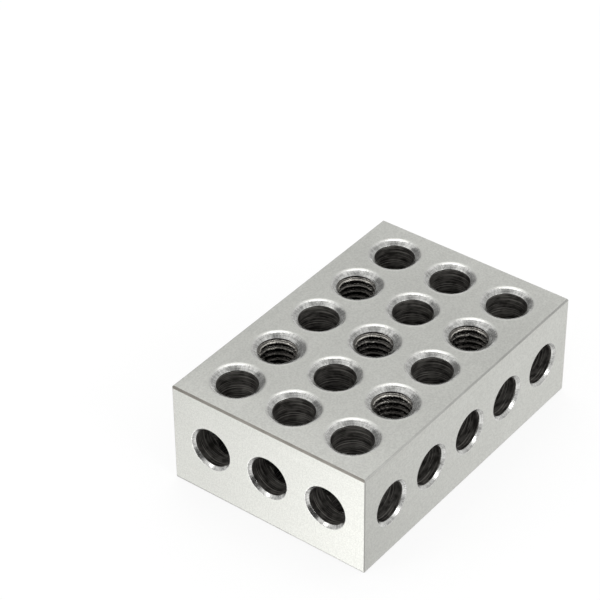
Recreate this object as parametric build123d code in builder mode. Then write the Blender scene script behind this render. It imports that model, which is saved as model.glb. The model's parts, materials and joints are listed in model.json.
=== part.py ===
from build123d import *
import os

# Machinist setup block: one ground steel block of 1 x 2 x 3 inches with 23 crossing through holes.
# Frame: millimetres, +X along the length, +Y across the width, +Z up. The origin is at the middle of
# the bottom face.

# The block
length = 76.2
width = 50.8
height = 25.4
edge_break = 0.4

# The grid of hole centres, shared by the holes of all six faces
holes_along = 5
holes_across = 3
end_margin = 9.525
side_margin = 10.16
pitch_along = (length - 2 * end_margin) / (holes_along - 1)
pitch_across = (width - 2 * side_margin) / (holes_across - 1)

# The holes: plain ones, and tapped ones at the size they are drilled for a 3/8-16 thread
plain_bore = 9.2
tap_bore = 7.94

# The countersunk mouths: wide, shallow ones on the two large faces, and narrower ones on the four edge faces
face_mouth = 11.6
face_sink_angle = 120
edge_mouth = 10.5
edge_sink_angle = 90

# Columns run along X and rows along Y, counted from the middle of the grid
columns = [column - (holes_along - 1) / 2 for column in range(holes_along)]
rows = [row - (holes_across - 1) / 2 for row in range(holes_across)]


def is_tapped(column, row):
    """The tapped holes are every other one, like the five of a die, and leave the end columns plain."""
    return (column + row) % 2 == 0 and abs(column) < columns[-1]


grid = [(column, row) for column in columns for row in rows]
tapped_centres = [(c * pitch_along, r * pitch_across) for c, r in grid if is_tapped(c, r)]
plain_centres = [(c * pitch_along, r * pitch_across) for c, r in grid if not is_tapped(c, r)]
side_centres = [(column * pitch_along, 0) for column in columns]
end_centres = [(row * pitch_across, 0) for row in rows]

# One plane in each face, at its middle, looking out of the block
middle = height / 2
large_faces = [
    Plane(origin=(0, 0, height), x_dir=(1, 0, 0), z_dir=(0, 0, 1)),
    Plane(origin=(0, 0, 0), x_dir=(1, 0, 0), z_dir=(0, 0, -1)),
]
side_faces = [
    Plane(origin=(0, -width / 2, middle), x_dir=(1, 0, 0), z_dir=(0, -1, 0)),
    Plane(origin=(0, width / 2, middle), x_dir=(1, 0, 0), z_dir=(0, 1, 0)),
]
end_faces = [
    Plane(origin=(-length / 2, 0, middle), x_dir=(0, 1, 0), z_dir=(-1, 0, 0)),
    Plane(origin=(length / 2, 0, middle), x_dir=(0, 1, 0), z_dir=(1, 0, 0)),
]


def drill(faces, centres, bore, mouth, angle, depth):
    """Countersunk holes drilled from both of two opposite faces, so that they meet in the middle."""
    for face in faces:
        with Locations(face):
            with Locations(*centres):
                CounterSinkHole(bore / 2, mouth / 2, depth, angle)


with BuildPart() as setup_block:
    Box(length, width, height, align=(Align.CENTER, Align.CENTER, Align.MIN))
    chamfer(setup_block.edges(), edge_break)
    drill(large_faces, plain_centres, plain_bore, face_mouth, face_sink_angle, height / 2)
    drill(large_faces, tapped_centres, tap_bore, face_mouth, face_sink_angle, height / 2)
    drill(side_faces, side_centres, plain_bore, edge_mouth, edge_sink_angle, width / 2)
    drill(end_faces, end_centres, plain_bore, edge_mouth, edge_sink_angle, length / 2)

setup_block.part.label = "setup_block"
os.makedirs("parts", exist_ok=True)
export_step(setup_block.part, "parts/setup_block.step")
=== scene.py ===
# %% [markdown]
# A machinist's setup block
#
# The object is one block of hardened steel, ground to 1 x 2 x 3 inches on all six faces. A pattern
# of holes crosses inside it: most are plain, and five are tapped for bolts. This lesson builds its
# looks in Blender: a fine mesh with real threads, seven finishes that share three node groups, and
# a white studio.

# %% Load the frame
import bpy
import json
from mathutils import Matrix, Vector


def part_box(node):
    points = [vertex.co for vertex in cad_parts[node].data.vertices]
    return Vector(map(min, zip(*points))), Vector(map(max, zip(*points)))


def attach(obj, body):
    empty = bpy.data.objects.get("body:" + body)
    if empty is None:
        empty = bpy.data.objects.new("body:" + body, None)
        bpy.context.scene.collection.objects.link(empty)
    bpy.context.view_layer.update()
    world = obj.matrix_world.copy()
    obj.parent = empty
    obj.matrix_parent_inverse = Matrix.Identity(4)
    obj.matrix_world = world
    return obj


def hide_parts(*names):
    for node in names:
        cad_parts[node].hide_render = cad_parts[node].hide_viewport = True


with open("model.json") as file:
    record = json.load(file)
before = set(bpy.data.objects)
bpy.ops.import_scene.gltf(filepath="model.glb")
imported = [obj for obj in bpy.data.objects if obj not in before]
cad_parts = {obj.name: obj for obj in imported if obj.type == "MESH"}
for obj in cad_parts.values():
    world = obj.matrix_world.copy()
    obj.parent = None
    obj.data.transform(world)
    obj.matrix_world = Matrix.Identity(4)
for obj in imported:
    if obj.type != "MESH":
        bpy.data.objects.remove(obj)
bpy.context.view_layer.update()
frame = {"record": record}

# %% [markdown]
# Reading the holes from the frame
#
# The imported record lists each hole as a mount: a point at the outer end of its straight wall, the
# way it faces, its radius and the wall's length. The rest follows from the block's box. The straight
# wall is shorter than the block by two countersinks, whose angle gives the width of the mouth. On the
# two large faces they are flatter than on the others. The sizes could be typed in again, but reading
# them keeps the looks and the solid together.

# %% Work out every hole's axis, length and mouth
import math

from mathutils import Matrix, Vector

MM = 0.001
FACE_SINK = math.radians(120)
EDGE_SINK = math.radians(90)
block_low, block_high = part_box("setup_block")
block_size = block_high - block_low


def read_hole(mount):
    """A hole's own measures, in metres, from its mount."""
    axis = Vector(mount["axis"])
    radius = mount["dims"]["r_mm"] * MM
    wall = mount["dims"]["length_mm"] * MM
    through = abs(axis.dot(block_size))
    sink = (through - wall) / 2
    large_face = abs(axis.z) > 0.5
    angle = FACE_SINK if large_face else EDGE_SINK
    return {
        "name": mount["name"],
        "tapped": mount["kind"] == "threaded_hole",
        "axis": axis,
        "centre": Vector(mount["pos_m"]) - axis * (wall / 2),
        "radius": radius,
        "half": through / 2,
        "sink": sink,
        "mouth": radius + sink * math.tan(angle / 2),
        "rubbed": large_face,
    }


mounts = frame["record"]["mounts"]
holes = [read_hole(mount) for mount in mounts if mount["kind"] in ("bore", "threaded_hole")]
plain_holes = [hole for hole in holes if not hole["tapped"]]
tapped_holes = [hole for hole in holes if hole["tapped"]]
print(len(plain_holes), "plain holes and", len(tapped_holes), "tapped holes")

# %% [markdown]
# The blank
#
# A block like this starts as a sawn blank that is ground flat, and its sharp edges are then broken
# with a small flat chamfer. That is handwork, so it isn't even. It is widest across the ends, where
# it leans down the end face, and it is hardly there at the upright corners. Below, it is about a
# third as wide as above. One bevel of one width won't do, so a cube is cut by a slanted plane at each
# of its edges, as a grinder would. A very small bevel then takes the knife edges off, so that they
# catch a thin line of light.
#
# Each face also gets a UV map named tool_marks, in millimetres. Its U runs along the grinding lines
# and its V across them. The upper chamfers across the ends get a finish of their own, because they
# keep more of the dark skin of hardening.

# %% Name the finishes
import bpy

FINISHES = [
    "ground_face",
    "broken_edge",
    "dark_edge",
    "rubbed_lip",
    "countersink",
    "drilled_wall",
    "tapped_wall",
]
for finish in FINISHES:
    bpy.data.materials.new(finish)


def new_piece(name, mesh):
    """Links a mesh into the scene as an object that holds all the finishes in one order."""
    for finish in FINISHES:
        mesh.materials.append(bpy.data.materials[finish])
    piece = bpy.data.objects.new(name, mesh)
    bpy.context.scene.collection.objects.link(piece)
    return piece


print("finishes:", FINISHES)

# %% Cut a chamfer along four edges
import bmesh

LOWER_BREAK = 0.35


def break_edges(shape, run, reach):
    """Cuts a chamfer at the four edges of a box about the origin that run along one axis. It reaches
    its own way along each of the other two axes, and less far below."""
    one, two = (axis for axis in range(3) if axis != run)
    for side in ((1, 1), (1, -1), (-1, 1), (-1, -1)):
        share = LOWER_BREAK if two == 2 and side[1] < 0 else 1.0
        slope, corner = Vector(), Vector()
        slope[one] = side[0] * reach[1]
        slope[two] = side[1] * reach[0]
        corner[one] = side[0] * block_size[one] / 2
        corner[two] = side[1] * block_size[two] / 2
        corner[one] -= side[0] * reach[0] * share
        everything = shape.verts[:] + shape.edges[:] + shape.faces[:]
        cut = bmesh.ops.bisect_plane(
            shape,
            geom=everything,
            plane_co=corner,
            plane_no=slope.normalized(),
            clear_outer=True,
        )
        rim = [part for part in cut["geom_cut"] if isinstance(part, bmesh.types.BMEdge)]
        bmesh.ops.contextual_create(shape, geom=rim)


print("the lower chamfers are", LOWER_BREAK, "times as wide as the upper ones")

# %% Make the chamfered blank
MARKS = "tool_marks"
EDGE_BREAKS = {
    "along": (0.30 * MM, 0.30 * MM),
    "across": (0.20 * MM, 0.60 * MM),
    "upright": (0.15 * MM, 0.15 * MM),
}
EDGE_SOFTENING = 0.05 * MM
EXACTLY = 0.9999
MOSTLY = 0.9
HARDLY = 0.1


def mark_face(face, marks):
    """Gives a face of the blank its finish, and its map in millimetres."""
    x_part, y_part, z_part = (abs(part) for part in face.normal)
    across = y_part < HARDLY
    if max(x_part, y_part, z_part) > EXACTLY:
        finish = "ground_face"
    else:
        finish = "dark_edge" if across and face.normal.z > 0 else "broken_edge"
    face.material_index = FINISHES.index(finish)
    across_the_end = x_part > MOSTLY or (across and z_part < MOSTLY)
    for loop in face.loops:
        x, y, z = loop.vert.co / MM
        flat = y if z_part > 0.5 else z
        loop[marks].uv = (y, z) if across_the_end else (x, flat)


def make_blank():
    """The block before drilling."""
    shape = bmesh.new()
    bmesh.ops.create_cube(shape, size=1.0)
    bmesh.ops.scale(shape, vec=block_size, verts=shape.verts)
    for run, reach in enumerate(EDGE_BREAKS.values()):
        break_edges(shape, run, reach)
    bmesh.ops.recalc_face_normals(shape, faces=shape.faces)
    edges = shape.edges[:]
    bmesh.ops.bevel(
        shape, geom=edges, offset=EDGE_SOFTENING, segments=2, profile=0.5, affect="EDGES")
    bmesh.ops.translate(shape, vec=(block_low + block_high) / 2, verts=shape.verts)
    marks = shape.loops.layers.uv.new(MARKS)
    for face in shape.faces:
        mark_face(face, marks)
    mesh = bpy.data.meshes.new("setup_block_steel")
    shape.to_mesh(mesh)
    shape.free()
    return new_piece("setup_block_steel", mesh)


block = make_blank()
print("blank:", len(block.data.polygons), "faces")

# %% [markdown]
# The drill and the countersink
#
# A hole is cut the way a drill cuts it: a tool with the hole's own outline is spun about its axis and
# taken away from the block. A mouth is a cone with a round at the face and another at the wall. On
# the sides and ends the lip is still nearly sharp. The lips of the large faces were rubbed down with
# the face, so each is a wide, soft round, and it is this round that shines at the rim. It gets a
# finish of its own, which runs from that of the face to that of the cone. The tool carries the UV map
# too: U is the turn about the axis, and V the way along the outline in millimetres.

# %% Shape a mouth from its outline
OVERSHOOT = 0.5 * MM
RUBBED_ROUND = 2.0 * MM
RUBBED_STEPS = 8
RUBBED_DEEPER = 0.12 * MM
LIP_ROUND = 0.20 * MM
ROUND_STEPS = 4


def rounded(before, corner, after, radius, steps):
    """Points of an arc that replaces one corner of an outline."""
    before, corner, after = Vector(before), Vector(corner), Vector(after)
    one = (before - corner).normalized()
    two = (after - corner).normalized()
    half_angle = one.angle(two) / 2
    middle = corner + (one + two).normalized() * (radius / math.sin(half_angle))
    start = corner + one * (radius / math.tan(half_angle)) - middle
    sweep = math.pi - 2 * half_angle
    if one.x * two.y - one.y * two.x > 0:
        sweep = -sweep
    arc = []
    for step in range(steps + 1):
        turn = Matrix.Rotation(sweep * step / steps, 2)
        arc.append(tuple(middle + turn @ start))
    return arc


def start_mouth(hole):
    """A mouth's points from outside the face to the top of its cone, the finish of each band between
    them, and the point where the cone meets the wall."""
    mouth, half, sink = hole["mouth"], hole["half"], hole["sink"]
    lip_round, steps, finish = LIP_ROUND, ROUND_STEPS, "countersink"
    if hole["rubbed"]:
        sink += RUBBED_DEEPER
        lip_round, steps, finish = RUBBED_ROUND, RUBBED_STEPS, "rubbed_lip"
    throat = (hole["radius"], half - sink)
    lip = rounded((mouth + MM, half), (mouth, half), throat, lip_round, steps)
    return [(lip[0][0], half + OVERSHOOT)] + lip, [finish] * len(lip), throat


def in_mm(lengths):
    """Lengths in millimetres, rounded for a print."""
    return [round(length / MM, 3) for length in lengths]


for hole in (plain_holes[0], plain_holes[-1]):
    points, _, throat = start_mouth(hole)
    print(hole["name"], "lip:", in_mm(points[1]), "to", in_mm(points[-1]), "throat:", in_mm(throat))

# %% Spin an outline into a closed tool
import numpy as np

TURN_STEPS = 96


def tool_mesh(name, points, faces, turns_and_runs, finish_numbers):
    """A mesh with its tool_marks map and its finishes set face by face."""
    mesh = bpy.data.meshes.new(name)
    mesh.from_pydata(points, [], faces)
    marks = mesh.uv_layers.new(name=MARKS)
    marks.uv.foreach_set("vector", np.array(turns_and_runs, np.float32).ravel())
    mesh.polygons.foreach_set("material_index", finish_numbers)
    return mesh


def spun_tool(name, outline, finishes):
    """Sweeps (radius, height) points about Z, from the top down, and closes both ends on the axis.
    finishes names what each band between two points leaves on the block."""
    heights = np.array([height for _, height in outline])
    steps = np.hypot(np.diff([radius for radius, _ in outline]), np.diff(heights))
    run = np.concatenate([[0.0], np.cumsum(steps)])
    run = np.minimum(run, run[-1] - run) / MM
    angles = [2 * math.pi * step / TURN_STEPS for step in range(TURN_STEPS)]
    points = [(r * math.cos(a), r * math.sin(a), z) for r, z in outline for a in angles]
    points += [(0.0, 0.0, heights[0]), (0.0, 0.0, heights[-1])]
    faces, marks, numbers = [], [], []

    def add(corners, number):
        faces.append([len(points) + at if at < 0 else at * TURN_STEPS + turn % TURN_STEPS
                      for at, turn in corners])
        marks.extend((turn / TURN_STEPS, run[at]) for at, turn in corners)
        numbers.append(number)

    last = len(outline) - 1
    for turn in range(TURN_STEPS):
        add([(-2, turn), (0, turn), (0, turn + 1)], 0)
        add([(-1, turn), (last, turn + 1), (last, turn)], 0)
        for at, finish in enumerate(finishes):
            corners = [(at, turn), (at + 1, turn), (at + 1, turn + 1), (at, turn + 1)]
            add(corners, FINISHES.index(finish))
    return tool_mesh(name, points, faces, marks, numbers)


print("a tool is spun in", TURN_STEPS, "steps")

# %% Shape the tool of a plain hole
THROAT_ROUND = 0.10 * MM


def drill(hole):
    """The tool of a plain hole: a countersink, the straight wall, and the other countersink."""
    upper, bands, throat = start_mouth(hole)
    inner = rounded(upper[-1], throat, (throat[0], 0.0), THROAT_ROUND, ROUND_STEPS)
    upper += inner
    bands += ["countersink"] * len(inner)
    outline = upper + [(throat[0], 0.0)] + [(r, -z) for r, z in reversed(upper)]
    return spun_tool(hole["name"], outline, bands + ["drilled_wall"] * 2 + bands[::-1])


print("a drill has", len(drill(plain_holes[0]).polygons), "faces")

# %% [markdown]
# The tap
#
# Five holes are tapped 3/8-16, the usual thread for blocks of this size: 16 turns to the inch, with
# flanks at 60 degrees to each other. A thread could be faked with a bump, but here the ridges show
# plainly in the holes, so they are real. One pitch of the thread's outline is carried up a helix, a
# row of points for each small turn, and each row joins the row one full turn later. Noise moves the
# crests in and out a little, because the tap tore them. The two open ends are closed on the axis.

# %% Outline one pitch of the thread
INCH = 25.4 * MM
PITCH = INCH / 16
THREAD_MAJOR = INCH * 3 / 8 / 2
FLANK_ANGLE = math.radians(30)
CREST_WEAR = 0.09 * MM
CREST_POINTS = range(4)


def thread_outline(minor):
    """(radius, height) points of one pitch: the worn crest, a flank, the root, and back."""
    flank = (THREAD_MAJOR - minor) * math.tan(FLANK_ANGLE)
    root = PITCH / 8
    crest = PITCH - root - 2 * flank
    return [
        (minor + CREST_WEAR, 0.0),
        (minor, CREST_WEAR),
        (minor, crest - CREST_WEAR),
        (minor + CREST_WEAR, crest),
        (THREAD_MAJOR, crest + flank),
        (THREAD_MAJOR, crest + flank + root),
    ]


for radius, height in thread_outline(tapped_holes[0]["radius"]):
    print("thread outline in mm:", in_mm((radius, height)))

# %% Carry the outline up a helix
from mathutils import noise

CREST_TEAR = 0.16 * MM
TEAR_SIZE = 0.60 * MM
THREAD_STEPS = 96
SPARE_TURNS = 1.5


def tap(hole):
    """The tool of a tapped hole, a little longer than the block is deep."""
    outline = thread_outline(hole["radius"])
    rows = round((2 * hole["half"] / PITCH + 2 * SPARE_TURNS) * THREAD_STEPS)
    bottom = -hole["half"] - SPARE_TURNS * PITCH - PITCH / 2
    points, numbered = [], {}
    for row in range(rows + THREAD_STEPS + 1):
        turn = 2 * math.pi * row / THREAD_STEPS
        for at, (radius, height) in enumerate(outline if row <= rows else outline[:1]):
            numbered[at, row] = len(points)
            rise = bottom + height + PITCH * row / THREAD_STEPS
            point = Vector((radius * math.cos(turn), radius * math.sin(turn), rise))
            if at in CREST_POINTS:
                tear = noise.noise((hole["centre"] + point) / TEAR_SIZE)
                point.xy *= 1 + CREST_TEAR * tear / radius
            points.append(point)
    for row in range(rows + 1):
        numbered[len(outline), row] = numbered[0, row + THREAD_STEPS]
    faces, marks = [], []

    def add(corners):
        faces.append([numbered[corner] for corner in corners])
        marks.extend((row / THREAD_STEPS, at) for at, row in corners)

    for row in range(rows):
        for at in range(len(outline)):
            add([(at, row), (at, row + 1), (at + 1, row + 1), (at + 1, row)])
    column = range(len(outline), -1, -1)
    for end, way in ((0, 1), (rows, -1)):
        numbered[-1, end] = len(points)
        middle = bottom + PITCH * end / THREAD_STEPS + PITCH / 2
        points.append((0.0, 0.0, middle))
        edge = [(0, end + row) for row in range(THREAD_STEPS + 1)]
        edge += [(at, end) for at in column[1:]]
        for one, two in zip(edge[:-1], edge[1:]):
            add([(-1, end), two, one][::way])
    numbers = [FINISHES.index("tapped_wall")] * len(faces)
    return tool_mesh(hole["name"], points, faces, marks, numbers)


print("a tap has", len(tap(tapped_holes[0]).polygons), "faces")

# %% Shape the mouths of a tapped hole
def tap_mouths(hole):
    """The two countersinks of a tapped hole, joined by a neck that is thinner than the thread."""
    upper, bands, throat = start_mouth(hole)
    down_the_cone = (Vector(throat) - Vector(upper[-1])).normalized()
    upper.append(tuple(Vector(throat) + down_the_cone * MM))
    bands.append("countersink")
    outline = upper + [(r, -z) for r, z in reversed(upper)]
    return spun_tool(hole["name"] + "_mouths", outline, bands + ["countersink"] + bands[::-1])


print("a pair of mouths has", len(tap_mouths(tapped_holes[0]).polygons), "faces")

# %% [markdown]
# Drilling and tapping
#
# Each tool is stood on its hole's axis and taken away from the block by a Boolean modifier. The
# manifold solver is the right one here: all of the shapes are closed, there are 28 cuts, and it is
# quick and clean. It keeps each tool's finish and its UV map on the surface that the tool leaves
# behind. The result is made into the piece's own mesh, and the tools are thrown away.

# %% Cut every hole
def place_tool(mesh, hole):
    """Puts a tool on its hole's axis as an object."""
    way = hole["axis"].to_track_quat("Z", "Y").to_matrix().to_4x4()
    mesh.transform(Matrix.Translation(hole["centre"]) @ way)
    return new_piece("tool_" + mesh.name, mesh)


tools = [place_tool(drill(hole), hole) for hole in plain_holes]
tools += [place_tool(make(hole), hole) for make in (tap_mouths, tap) for hole in tapped_holes]
for tool in tools:
    cut = block.modifiers.new(tool.name, "BOOLEAN")
    cut.operation = "DIFFERENCE"
    cut.solver = "MANIFOLD"
    cut.material_mode = "INDEX"
    cut.object = tool

seen = block.evaluated_get(bpy.context.evaluated_depsgraph_get())
cut_mesh = bpy.data.meshes.new_from_object(seen)
block.modifiers.clear()
block.data = cut_mesh
for tool in tools:
    bpy.data.objects.remove(tool)
print("cut block:", len(cut_mesh.polygons), "faces,", len(cut_mesh.vertices), "points")

# %% [markdown]
# Flat faces and soft curves
#
# The walls and the countersinks are curved, so their faces are shaded smooth. The ground faces are
# not: a flat face that shares its edge with a rounded lip would otherwise pick up some of its slope
# and look dented. So an edge is marked sharp where it bends by more than 30 degrees, and wherever a
# ground face ends.

# %% Mark the sharp edges
SHARP_ANGLE = math.radians(30)
CM = 0.01

shape = bmesh.new()
shape.from_mesh(cut_mesh)
ground = FINISHES.index("ground_face")
for face in shape.faces:
    face.smooth = True
for edge in shape.edges:
    one, two = (face.material_index for face in edge.link_faces)
    ends_a_flat = one != two and ground in (one, two)
    edge.smooth = not ends_a_flat and edge.calc_face_angle() < SHARP_ANGLE
print("sharp edges:", sum(not edge.smooth for edge in shape.edges))
print("open edges:", sum(not edge.is_manifold for edge in shape.edges))
print("steel in cubic centimetres:", round(shape.calc_volume() / CM**3, 2))
shape.to_mesh(cut_mesh)
shape.free()

# %% [markdown]
# Node groups for the marks that tools leave
#
# All seven finishes are the same steel. What differs is the mark of the tool: straight lines from the
# grinding wheel, and rings from the drill, the countersink and the tap. A picture of such marks would
# blur close up, and nodes stay sharp. Each kind of mark is a node group that reads the tool_marks map
# and puts out plain values, so every material can use it in its own strength.

# %% Helpers that add nodes
def fill(tree, node, inputs):
    """Sets a node's inputs. A socket is linked, and anything else is set as a plain value."""
    for name, value in inputs.items():
        if isinstance(value, bpy.types.NodeSocket):
            tree.links.new(value, node.inputs[name])
        else:
            node.inputs[name].default_value = value


def add_node(tree, kind, inputs=None, **settings):
    """Adds a shader node, sets its properties, and fills its inputs."""
    made = tree.nodes.new("ShaderNode" + kind)
    for name, value in settings.items():
        setattr(made, name, value)
    fill(tree, made, inputs or {})
    return made


def math_node(tree, operation, *values):
    """One Math node's result."""
    return add_node(tree, "Math", dict(enumerate(values)), operation=operation).outputs[0]


def part_of(tree, vector, axis):
    """One of a vector's three parts, X, Y or Z."""
    return add_node(tree, "SeparateXYZ", {0: vector}).outputs[axis]


def scaled(tree, vector, scale):
    """A vector times a number."""
    inputs = {0: vector, "Scale": scale}
    return add_node(tree, "VectorMath", inputs, operation="SCALE").outputs[0]


def remapped(tree, value, low, high, new_low=0.0, new_high=1.0):
    """A value's span from low to high, stretched smoothly to a new span and held there."""
    spans = {"From Min": low, "From Max": high, "To Min": new_low, "To Max": new_high}
    inputs = {"Value": value, **spans}
    return add_node(tree, "MapRange", inputs, interpolation_type="SMOOTHSTEP").outputs["Result"]


def stretched_noise(tree, place, stretch, detail, roughness=0.55):
    """Noise at a place that is first stretched by a different amount along each axis."""
    longer = add_node(tree, "VectorMath", {0: place, 1: stretch}, operation="MULTIPLY").outputs[0]
    inputs = {"Vector": longer, "Scale": 1.0, "Detail": detail, "Roughness": roughness}
    return add_node(tree, "TexNoise", inputs).outputs["Fac"]


# %% A helper that starts a group
def new_group(name, inputs, outputs):
    """Starts a node group and returns it with its inputs and its output node. inputs gives each
    socket's kind and first value, and outputs each one's kind."""
    group = bpy.data.node_groups.new(name, "ShaderNodeTree")
    for label, (kind, value) in inputs.items():
        socket = group.interface.new_socket(label, in_out="INPUT", socket_type="NodeSocket" + kind)
        if value is not None:
            socket.default_value = value
    for label, kind in outputs.items():
        group.interface.new_socket(label, in_out="OUTPUT", socket_type="NodeSocket" + kind)
    given = group.nodes.new("NodeGroupInput").outputs
    return group, given, group.nodes.new("NodeGroupOutput")


# %% [markdown]
# Grinding lines
#
# A grinding wheel leaves long, fine lines, broader streaks of light and dark, and a few deeper
# scratches. All three are one kind of noise, stretched far along the map's U and squeezed along its V.

# %% Grinding lines, for flat surfaces
FINE_STRETCH = (0.10, 9.0, 0.0)
BROAD_STRETCH = (0.018, 0.7, 0.0)
SCRATCH_STRETCH = (0.16, 5.0, 0.0)

grinding, given, result = new_group(
    "Grinding lines",
    {"Marks": ("Vector", None), "Spread": ("Float", 1.0)},
    {"Fine": "Float", "Broad": "Float", "Scratches": "Float"},
)
place = scaled(grinding, given["Marks"], given["Spread"])
fine = stretched_noise(grinding, place, FINE_STRETCH, detail=3.0)
broad = stretched_noise(grinding, place, BROAD_STRETCH, detail=3.0)
hairline = stretched_noise(grinding, place, SCRATCH_STRETCH, detail=1.0)
fill(grinding, result, {
    "Fine": remapped(grinding, fine, 0.25, 0.75),
    "Broad": remapped(grinding, broad, 0.3, 0.7),
    "Scratches": remapped(grinding, hairline, 0.66, 0.76),
})
print(grinding.name, "has", len(grinding.nodes), "nodes")

# %% [markdown]
# Turning marks
#
# A drill leaves rings, and a tool that shakes leaves short marks across them. The map's U would give
# the noise a seam where a turn ends, so U is bent round into a circle first. For the marks that
# shouldn't repeat from hole to hole, the place in the block is added too, times a large number.

# %% Turning marks, for holes
RING_STRETCH = (0.12, 0.12, 1.0)
CHATTER_STRETCH = (2.4, 2.4, 0.8)
PATCH_STRETCH = (0.55, 0.55, 0.9)
HOLES_APART = 150.0

turning, given, result = new_group(
    "Turning marks",
    {"Marks": ("Vector", None), "Radius": ("Float", 5.0), "Lines": ("Float", 10.0)},
    {"Rings": "Float", "Grooves": "Float", "Chatter": "Float", "Patches": "Float"},
)
angle = math_node(turning, "MULTIPLY", part_of(turning, given["Marks"], "X"), 2 * math.pi)
round_x = math_node(turning, "MULTIPLY", math_node(turning, "COSINE", angle), given["Radius"])
round_y = math_node(turning, "MULTIPLY", math_node(turning, "SINE", angle), given["Radius"])
inward = part_of(turning, given["Marks"], "Y")
spaced = math_node(turning, "MULTIPLY", inward, given["Lines"])
ring_place = add_node(turning, "CombineXYZ", {0: round_x, 1: round_y, 2: spaced}).outputs[0]
mark_place = add_node(turning, "CombineXYZ", {0: round_x, 1: round_y, 2: inward}).outputs[0]
apart = scaled(turning, add_node(turning, "NewGeometry").outputs["Position"], HOLES_APART)
mark_place = add_node(turning, "VectorMath", {0: mark_place, 1: apart}).outputs[0]
rings = stretched_noise(turning, ring_place, RING_STRETCH, detail=2.0)
chatter = stretched_noise(turning, mark_place, CHATTER_STRETCH, detail=2.0)
patches = stretched_noise(turning, mark_place, PATCH_STRETCH, detail=2.0)
fill(turning, result, {
    "Rings": remapped(turning, rings, 0.25, 0.75),
    "Grooves": remapped(turning, rings, 0.52, 0.68),
    "Chatter": remapped(turning, chatter, 0.38, 0.62),
    "Patches": remapped(turning, patches, 0.35, 0.65),
})
print(turning.name, "has", len(turning.nodes), "nodes")

# %% [markdown]
# Handling haze and painted light
#
# Oil and handling leave soft clouds on steel, and its grain shows as a fine speckle. The group also
# paints light: every face but the long sides is made paler towards the block's two ends. None of this
# follows a tool, so the group reads the place on the object and not the map.

# %% Handling haze and painted light, for the whole block
PAINTED_LIGHT_ENDS = (24 * MM, 37 * MM)
SIDEWAYS = (0.6, 0.9)
GRAIN_STRETCH = (2.7 / MM, 2.7 / MM, 2.7 / MM)
EVEN_STRETCH = (1.0, 1.0, 1.0)

haze_and_light_group, given, result = new_group(
    "Handling haze",
    {"Size": ("Float", 12.0)},
    {"Haze": "Float", "Grain": "Float", "Ends": "Float"},
)
on_block = add_node(haze_and_light_group, "TexCoord").outputs
per_size = math_node(haze_and_light_group, "DIVIDE", 1 / MM, given["Size"])
cloud_place = scaled(haze_and_light_group, on_block["Object"], per_size)
cloud = stretched_noise(haze_and_light_group, cloud_place, EVEN_STRETCH, detail=4.0, roughness=0.5)
grain = stretched_noise(haze_and_light_group, on_block["Object"], GRAIN_STRETCH, detail=2.0)
# Painted light: every face but the long sides is made paler towards the block's two ends.
from_middle = math_node(haze_and_light_group, "ABSOLUTE", part_of(haze_and_light_group, on_block["Object"], "X"))
painted_light_near_end = remapped(haze_and_light_group, from_middle, *PAINTED_LIGHT_ENDS)
sideways = math_node(haze_and_light_group, "ABSOLUTE", part_of(haze_and_light_group, on_block["Normal"], "Y"))
off_the_sides = remapped(haze_and_light_group, sideways, *SIDEWAYS, 1.0, 0.0)
fill(haze_and_light_group, result, {
    "Haze": remapped(haze_and_light_group, cloud, 0.3, 0.7),
    "Grain": remapped(haze_and_light_group, grain, 0.3, 0.7),
    "Ends": math_node(haze_and_light_group, "MULTIPLY", painted_light_near_end, off_the_sides),
})
print(haze_and_light_group.name, "has", len(haze_and_light_group.nodes), "nodes")

# %% [markdown]
# The seven finishes
#
# Every finish starts as metal, so its colour is the colour of its reflections. Each has a Principled
# BSDF of its own, which the node groups feed. Fine parallel marks spread a highlight across
# themselves, and anisotropy does the same here. It needs a tangent along the marks, which comes from
# the tool_marks map.

# %% Helpers that start a finish
ACROSS_THE_MARKS = 0.25


def bare_tree(owner, output="OutputMaterial"):
    """Clears the nodes of a material or a world, and returns its tree and the socket for its shader."""
    owner.use_nodes = True
    owner.node_tree.nodes.clear()
    return owner.node_tree, add_node(owner.node_tree, output).inputs["Surface"]


def start_finish(name):
    """Gives a material a shader, its marks, and the tangent that runs along them."""
    tree, surface = bare_tree(bpy.data.materials[name])
    tangent = add_node(tree, "Tangent", direction_type="UV_MAP", uv_map=MARKS)
    shader = add_node(tree, "BsdfPrincipled", {
        "Metallic": 1.0,
        "Anisotropic Rotation": ACROSS_THE_MARKS,
        "Tangent": tangent.outputs[0],
    })
    tree.links.new(shader.outputs[0], surface)
    marks = add_node(tree, "UVMap", uv_map=MARKS).outputs[0]
    return tree, shader, marks


# %% Helpers that mix a finish
# The Mix node has a set of sockets for each kind of data. These are the numbers of its colours.
MIX_FIRST, MIX_SECOND, MIX_RESULT = 6, 7, 2


def place_group(tree, group, inputs):
    """Puts a node group into a material and returns its outputs."""
    return add_node(tree, "Group", inputs, node_tree=group).outputs


def blended(tree, amount, first, second):
    """A colour between two, by a value from 0 to 1."""
    inputs = {"Factor": amount, MIX_FIRST: first, MIX_SECOND: second}
    return add_node(tree, "Mix", inputs, data_type="RGBA").outputs[MIX_RESULT]


def weighed(tree, base, *terms):
    """A plain number plus the sum of values, each times its own weight."""
    total = base
    for value, weight in terms:
        inputs = {0: value, 1: weight, 2: total}
        total = add_node(tree, "Math", inputs, operation="MULTIPLY_ADD").outputs[0]
    return total


def bumped(tree, height, strength, depth):
    """The normal of a surface with marks of some depth in metres."""
    inputs = {"Strength": strength, "Distance": depth, "Height": height}
    return add_node(tree, "Bump", inputs).outputs[0]


# %% [markdown]
# Ground faces
#
# The faces are satin: pale and slightly warm, and painted a little paler towards the block's ends,
# which is painted light. Their grain carries most of the change in tone, with soft clouds and streaks
# below it. The lines themselves are only a few thousandths of a millimetre deep, far too fine for
# geometry, so they are a bump.

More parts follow.
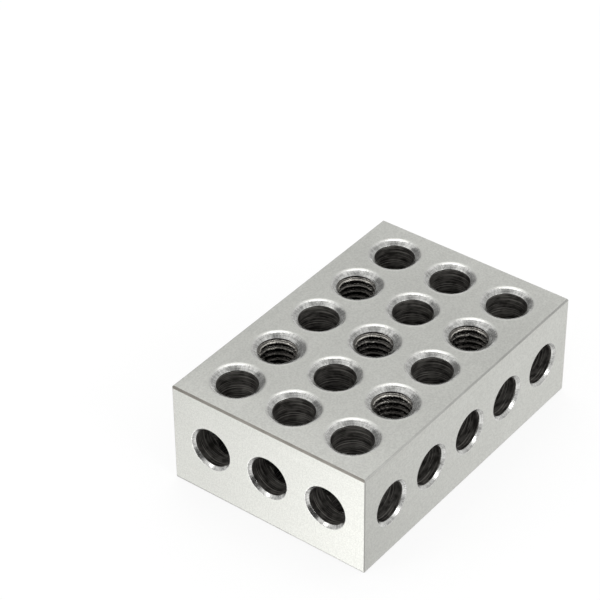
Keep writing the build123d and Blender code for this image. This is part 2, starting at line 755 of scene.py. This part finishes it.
# %% Make the ground faces
GROUND_TONES = (0.510, 0.513, 0.485, 1), (0.641, 0.645, 0.611, 1)
# Paler tones for the block's ends: painted light.
PAINTED_LIGHT_TONES = (0.556, 0.559, 0.529, 1), (0.698, 0.703, 0.666, 1)
GRINDING_DEPTH = 0.003 * MM

tree, shader, marks = start_finish("ground_face")
lines = place_group(tree, grinding, {"Marks": marks})
haze_and_light = place_group(tree, haze_and_light_group, {"Size": 14.0})
fine, scratches, haze = lines["Fine"], lines["Scratches"], haze_and_light["Haze"]
tone = weighed(tree, 0.0, (lines["Broad"], 0.12), (haze, 0.20), (haze_and_light["Grain"], 0.68))
colour = blended(tree, tone, *GROUND_TONES)
painted_light_colour = blended(tree, tone, *PAINTED_LIGHT_TONES)
height = weighed(tree, 0.0, (fine, 1.0), (scratches, -0.8))
fill(tree, shader, {
    "Base Color": blended(tree, haze_and_light["Ends"], colour, painted_light_colour),
    "Roughness": weighed(tree, 0.40, (fine, 0.06), (haze, 0.05), (scratches, -0.06)),
    "Normal": bumped(tree, height, strength=0.5, depth=GRINDING_DEPTH),
    "Anisotropic": 0.75,
})
print("ground_face has", len(tree.nodes), "nodes")

# %% [markdown]
# Broken edges
#
# A hand stone broke the edges, so they are duller than the faces. Across the ends they keep a brown
# grey from hardening. The two differ only in their tones, so one loop makes both.

# %% Make the broken edges
EDGE_TONES = {
    "broken_edge": ((0.39, 0.39, 0.37, 1), (0.49, 0.49, 0.47, 1)),
    "dark_edge": ((0.235, 0.222, 0.198, 1), (0.320, 0.305, 0.277, 1)),
}
for finish, tones in EDGE_TONES.items():
    tree, shader, marks = start_finish(finish)
    lines = place_group(tree, grinding, {"Marks": marks, "Spread": 1.6})
    haze_and_light = place_group(tree, haze_and_light_group, {"Size": 5.0})
    tone = weighed(tree, 0.0, (lines["Broad"], 0.4), (haze_and_light["Haze"], 0.6))
    fill(tree, shader, {
        "Base Color": blended(tree, tone, *tones),
        "Roughness": weighed(tree, 0.46, (lines["Fine"], 0.10)),
        "Anisotropic": 0.3,
    })
    print(finish, "has", len(tree.nodes), "nodes")

# %% [markdown]
# Mouths and their rubbed lips
#
# The cones are smoother than the faces. The countersink left rings on them, and short light and dark
# marks where it chattered. A rubbed lip has the same nodes, but it starts with the tone and the
# roughness of the ground face, with the same painted light towards the block's ends. The map's V says
# how far down the lip a place is, and so how much of the cone's finish it has.

# %% Make the mouths and the lips
CONE_TONES = (0.27, 0.27, 0.26, 1), (0.75, 0.75, 0.73, 1)
FACE_TONES_PLAIN_AND_PAINTED_LIGHT = (0.575, 0.578, 0.548, 1), (0.627, 0.630, 0.597, 1)
LIP_RUN = (0.55, 1.55)
LIP_ROUGHER = 0.14
CHATTER_DEPTH = 0.018 * MM

for finish in ("countersink", "rubbed_lip"):
    tree, shader, marks = start_finish(finish)
    turned = place_group(tree, turning, {"Marks": marks, "Radius": 5.2, "Lines": 4.5})
    rings, chatter, patches = turned["Rings"], turned["Chatter"], turned["Patches"]
    tone = weighed(tree, 0.0, (patches, 0.25), (chatter, 0.30), (rings, 0.45))
    colour = blended(tree, tone, *CONE_TONES)
    rough = weighed(tree, 0.15, (rings, 0.08), (patches, 0.08))
    height = weighed(tree, 0.0, (rings, 0.7), (chatter, 0.4))
    if finish == "rubbed_lip":
        down = remapped(tree, part_of(tree, marks, "Y"), *LIP_RUN)
        # The same painted light as on the ground faces: paler towards the block's ends.
        painted_light_ends = place_group(tree, haze_and_light_group, {})["Ends"]
        colour = blended(tree, down, blended(tree, painted_light_ends, *FACE_TONES_PLAIN_AND_PAINTED_LIGHT), colour)
        rough = weighed(tree, LIP_ROUGHER, (rough, 1.0), (down, -LIP_ROUGHER))
        height = math_node(tree, "MULTIPLY", height, down)
    fill(tree, shader, {
        "Base Color": colour,
        "Roughness": rough,
        "Normal": bumped(tree, height, strength=0.7, depth=CHATTER_DEPTH),
        "Anisotropic": 0.5,
    })
    print(finish, "has", len(tree.nodes), "nodes")

# %% [markdown]
# Drilled walls
#
# The walls in the holes keep the dark skin of the heat treatment, and the drill's thin rings shine
# through it. That skin is an oxide and not bare metal, so this finish is only half metallic, with a
# weak gloss. Then it stays dark whatever the studio reflects.

# %% Make the drilled walls
WALL_TONES = (0.022, 0.020, 0.018, 1), (0.27, 0.26, 0.24, 1)
DRILLING_DEPTH = 0.03 * MM

tree, shader, marks = start_finish("drilled_wall")
turned = place_group(tree, turning, {"Marks": marks, "Radius": 4.6, "Lines": 5.5})
patches = turned["Patches"]
tone = weighed(tree, 0.0, (turned["Grooves"], 0.75), (patches, 0.25))
height = weighed(tree, 0.0, (turned["Rings"], 1.0), (patches, 0.5))
fill(tree, shader, {
    "Base Color": blended(tree, tone, *WALL_TONES),
    "Metallic": 0.5,
    "Specular IOR Level": 0.2,
    "Roughness": weighed(tree, 0.54, (patches, 0.12)),
    "Normal": bumped(tree, height, strength=0.8, depth=DRILLING_DEPTH),
    "Anisotropic": 0.4,
})
print("drilled_wall has", len(tree.nodes), "nodes")

# %% [markdown]
# Tapped walls
#
# Bolts rub bands of a thread bright. Its colour is also darkened with depth in the hole, which is
# painted shade, so only the first turns stay bright. Along one pitch, the map's V counts the points of
# the thread's outline, so a band of it can be picked out by number. Two bands are worn: the upper edge
# of the crest, in torn patches, and the flank above it, in thin lines.

# %% Pick out bands of the thread
WORN_EDGE = (1.9, 3.15)
FLANK = (3.0, 4.2)

tree, shader, marks = start_finish("tapped_wall")
outline_place = part_of(tree, marks, "Y")


def band(low, high):
    """1 on one band of the thread's outline, between two places along it."""
    above = math_node(tree, "GREATER_THAN", outline_place, low)
    return math_node(tree, "MULTIPLY", above, math_node(tree, "LESS_THAN", outline_place, high))


worn_edge = band(*WORN_EDGE)
flank = band(*FLANK)
print("worn edge:", WORN_EDGE, "and flank:", FLANK, "along the outline")

# %% Make the tapped walls
PAINTED_SHADE_DEPTHS = (1.2 * MM, 4.2 * MM)
DEEP_PAINTED_SHADE_SHARE = 0.09
THREAD_TONES = (0.026, 0.024, 0.022, 1), (0.78, 0.75, 0.69, 1)
TEAR_DEPTH = 0.05 * MM

turned = place_group(tree, turning, {"Marks": marks, "Radius": 4.3, "Lines": 5.0})
rag = place_group(tree, haze_and_light_group, {"Size": 1.6})
level = part_of(tree, add_node(tree, "TexCoord").outputs["Object"], "Z")
from_middle = math_node(tree, "ABSOLUTE", math_node(tree, "SUBTRACT", level, block_size.z / 2))
depth = math_node(tree, "SUBTRACT", block_size.z / 2, from_middle)
# Painted shade: the colour darkens with depth in the hole, to a small share deep down.
rubbed = remapped(tree, depth, *PAINTED_SHADE_DEPTHS, 1.0, DEEP_PAINTED_SHADE_SHARE)
torn = math_node(tree, "MULTIPLY", weighed(tree, 0.3, (rag["Grain"], 0.7)), rag["Haze"])
torn_edge = math_node(tree, "MULTIPLY", worn_edge, torn)
lined_flank = math_node(tree, "MULTIPLY", flank, turned["Grooves"])
worn = weighed(tree, 0.04, (torn_edge, 0.80), (lined_flank, 0.65), (flank, 0.10))
height = weighed(tree, 0.0, (rag["Grain"], 1.0), (rag["Haze"], 0.6))
fill(tree, shader, {
    "Base Color": blended(tree, math_node(tree, "MULTIPLY", worn, rubbed), *THREAD_TONES),
    "Roughness": weighed(tree, 0.10, (turned["Patches"], 0.08)),
    "Normal": bumped(tree, height, strength=0.8, depth=TEAR_DEPTH),
    "Anisotropic": 0.4,
})
print("tapped_wall has", len(tree.nodes), "nodes")

# %% [markdown]
# The studio
#
# Metal shows what stands around it, so the studio is half of the finish. The block lies on a white
# table in white surroundings. The table glows white where it is seen, so that it needs no extra lamp,
# and gives the glow up close to the block, where the block's shadow shows. Reflections see through
# it to the white room, which keeps them even.

# %% White surroundings
WHITE = (1, 1, 1, 1)

scene = bpy.context.scene
scene.view_settings.view_transform = "Standard"
scene.world = bpy.data.worlds.new("white_room")
tree, surface = bare_tree(scene.world, "OutputWorld")
room = add_node(tree, "Background", {"Color": WHITE, "Strength": 1.0})
tree.links.new(room.outputs[0], surface)
print("world:", scene.world.name)

# %% White table
TABLE_SIZE = 6.0
TABLE_DROP = 0.02 * MM
TABLE_COLOUR = (0.9, 0.9, 0.9, 1)
TABLE_GLOW = 0.82
SHADE_REACH = 30 * MM
OPEN_SKY = (0.05, 0.45)


def flat_sheet(name, width, height):
    """A rectangle about the origin that faces up, with an empty material of its own."""
    across, up = width / 2, height / 2
    corners = [(-across, -up, 0), (across, -up, 0), (across, up, 0), (-across, up, 0)]
    mesh = bpy.data.meshes.new(name)
    mesh.from_pydata(corners, [], [(0, 1, 2, 3)])
    mesh.materials.append(bpy.data.materials.new(name))
    sheet = bpy.data.objects.new(name, mesh)
    scene.collection.objects.link(sheet)
    return sheet


def seen_directly(tree):
    """1 where a ray comes from the camera, from a reflection or through glass."""
    path = add_node(tree, "LightPath").outputs
    seen = math_node(tree, "MAXIMUM", path["Is Camera Ray"], path["Is Glossy Ray"])
    return math_node(tree, "MAXIMUM", seen, path["Is Transmission Ray"])


table = flat_sheet("table", TABLE_SIZE, TABLE_SIZE)
table.location.z = -TABLE_DROP
table.visible_glossy = False
tree, surface = bare_tree(table.active_material)
matt = add_node(tree, "BsdfDiffuse", {"Color": TABLE_COLOUR})
glow = add_node(tree, "Emission", {"Color": WHITE, "Strength": 1.0})
open_sky = add_node(tree, "AmbientOcclusion", {"Distance": SHADE_REACH}, samples=8).outputs["AO"]
share = math_node(tree, "MULTIPLY", seen_directly(tree), TABLE_GLOW)
share = math_node(tree, "MULTIPLY", share, remapped(tree, open_sky, *OPEN_SKY))
both = add_node(tree, "MixShader", {0: share, 1: matt.outputs[0], 2: glow.outputs[0]})
tree.links.new(both.outputs[0], surface)
print("table:", [round(side, 2) for side in table.dimensions])

# %% [markdown]
# Lamps
#
# Three soft lamps stand round the block: one high on the left, one beyond it and one in front. They
# are weak, because the room lights most of the block. What they add is the bright line at the rim of
# each mouth.

# %% Soft lamps
MIDDLE = (block_low + block_high) / 2
LAMP_DISTANCE = 0.95
# Each lamp's direction from the block, its width and height in metres, and its power in watts.
LAMPS = {
    "key_lamp": ((-0.70, 0.42, 0.58), 0.22, 0.22, 0.55),
    "far_lamp": ((0.290, 0.226, 0.930), 0.36, 0.36, 1.00),
    "front_lamp": ((-0.11, -0.83, 0.535), 0.38, 0.24, 1.40),
}


def soft_lamp(name, place, width, height, power):
    """A rectangular lamp that faces the block."""
    data = bpy.data.lights.new(name, "AREA")
    data.shape = "RECTANGLE"
    data.size = width
    data.size_y = height
    data.energy = power
    lamp = bpy.data.objects.new(name, data)
    lamp.location = place
    lamp.rotation_euler = (MIDDLE - Vector(place)).to_track_quat("-Z", "Y").to_euler()
    scene.collection.objects.link(lamp)


for name, (way, *size_and_power) in LAMPS.items():
    soft_lamp(name, MIDDLE + Vector(way).normalized() * LAMP_DISTANCE, *size_and_power)
print("lamps:", list(LAMPS))

# %% [markdown]
# Cards for the reflections
#
# A photographer puts grey flags and white reflectors round a metal object, out of the picture. The
# first five cards stand above the table and do the same. The other six lie below the table, which
# reflections see through, and stand in for it: their brightness is painted light and painted shade of
# the table. Only reflections see the cards. Together they calm the top to a grey, darken one side of
# each mouth, brighten the near end and even out the long side. The last one lies just under the block:
# a dark sheet for the block's shadow on the table, a painted shade that keeps the holes dark from
# below.

# %% Put up the cards
CARD_DISTANCE = 0.7
# Each card's direction from the block, its width and height in metres, and its brightness.
CARDS = {
    "camera_flag": ((-0.21, -0.29, 0.94), 0.38, 0.72, 0.56),
    "left_front_flag": ((-0.79, -0.55, 0.30), 0.62, 0.66, 0.06),
    "back_flag": ((0.13, 0.93, 0.34), 0.80, 0.68, 0.34),
    "right_flag": ((0.80, -0.36, 0.40), 1.10, 0.66, 0.74),
    "top_flag": ((0.73, 0.36, 0.58), 0.44, 0.36, 0.78),
    # Below the table: painted light and painted shade of the table, as reflections see it.
    "end_reflector": ((-0.775, 0.128, -0.615), 0.48, 0.70, 2.75),
    "end_flag": ((-0.37, 0.70, -0.588), 0.46, 0.75, 0.95),
    "side_reflector": ((0.70, -0.43, -0.57), 0.50, 0.50, 1.20),
    "side_flag": ((0.40, -0.50, -0.768), 0.34, 0.50, 0.55),
    "low_reflector": ((-0.40, -0.64, -0.66), 0.24, 0.44, 1.50),
    "low_front_flag": ((-0.64, -0.40, -0.656), 0.34, 0.54, 0.70),
}
SHADE_DROP = 0.01 * MM
SHADE_BRIGHTNESS = 0.09


def reflection_card(name, middle, facing, width, height, brightness):
    """A flat card that only reflections see."""
    card = flat_sheet(name, width, height)
    tree, surface = bare_tree(card.active_material)
    glow = add_node(tree, "Emission", {"Color": WHITE, "Strength": brightness})
    tree.links.new(glow.outputs[0], surface)
    card.location = middle
    card.rotation_euler = Vector(facing).to_track_quat("Z", "Y").to_euler()
    card.visible_camera = card.visible_diffuse = card.visible_shadow = False
    card.visible_transmission = card.visible_volume_scatter = False


for name, (way, *size_and_brightness) in CARDS.items():
    way = Vector(way).normalized()
    reflection_card(name, MIDDLE + way * CARD_DISTANCE, -way, *size_and_brightness)
underside = block_size.x, block_size.y
# Painted shade: a dark sheet for the block's shadow on the table under it, seen only in reflections.
reflection_card("shade_under_block", (0, 0, -SHADE_DROP), (0, 0, 1), *underside, SHADE_BRIGHTNESS)
print("cards:", list(CARDS), "and the shade under the block")

# %% [markdown]
# The camera
#
# The view was worked out from the block's own edges, whose true lengths are known. The camera looks
# down at the block from the left front with a long lens, so that its far edges are only a little
# shorter than the near ones. It aims a little beside the block, which leaves the block low and right
# in the square frame.

# %% Set the camera
CAMERA_PLACE = Vector((-330.66, -237.43, 343.99)) * MM
CAMERA_AIM = Vector((15.38, 32.40, 12.61)) * MM
CAMERA_ROLL = math.radians(-0.64)
LENS = 143.08
SENSOR = 36.0
NEAREST = 10 * MM

camera = bpy.data.objects.new("camera", bpy.data.cameras.new("camera"))
camera.data.lens = LENS
camera.data.sensor_width = SENSOR
camera.data.clip_start = NEAREST
camera.location = CAMERA_PLACE
aim = (CAMERA_AIM - CAMERA_PLACE).to_track_quat("-Z", "Y")
camera.rotation_euler = (aim.to_matrix() @ Matrix.Rotation(CAMERA_ROLL, 3, "Z")).to_euler()
scene.collection.objects.link(camera)
scene.camera = camera
print("camera distance:", round((CAMERA_AIM - CAMERA_PLACE).length, 3), "m")

# %% [markdown]
# Tying the piece to the frame
#
# The piece rides on the block's only body and stands for its CAD node, which stays hidden.

# %% Tie the piece to the frame
import json

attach(block, "root")
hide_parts("setup_block")
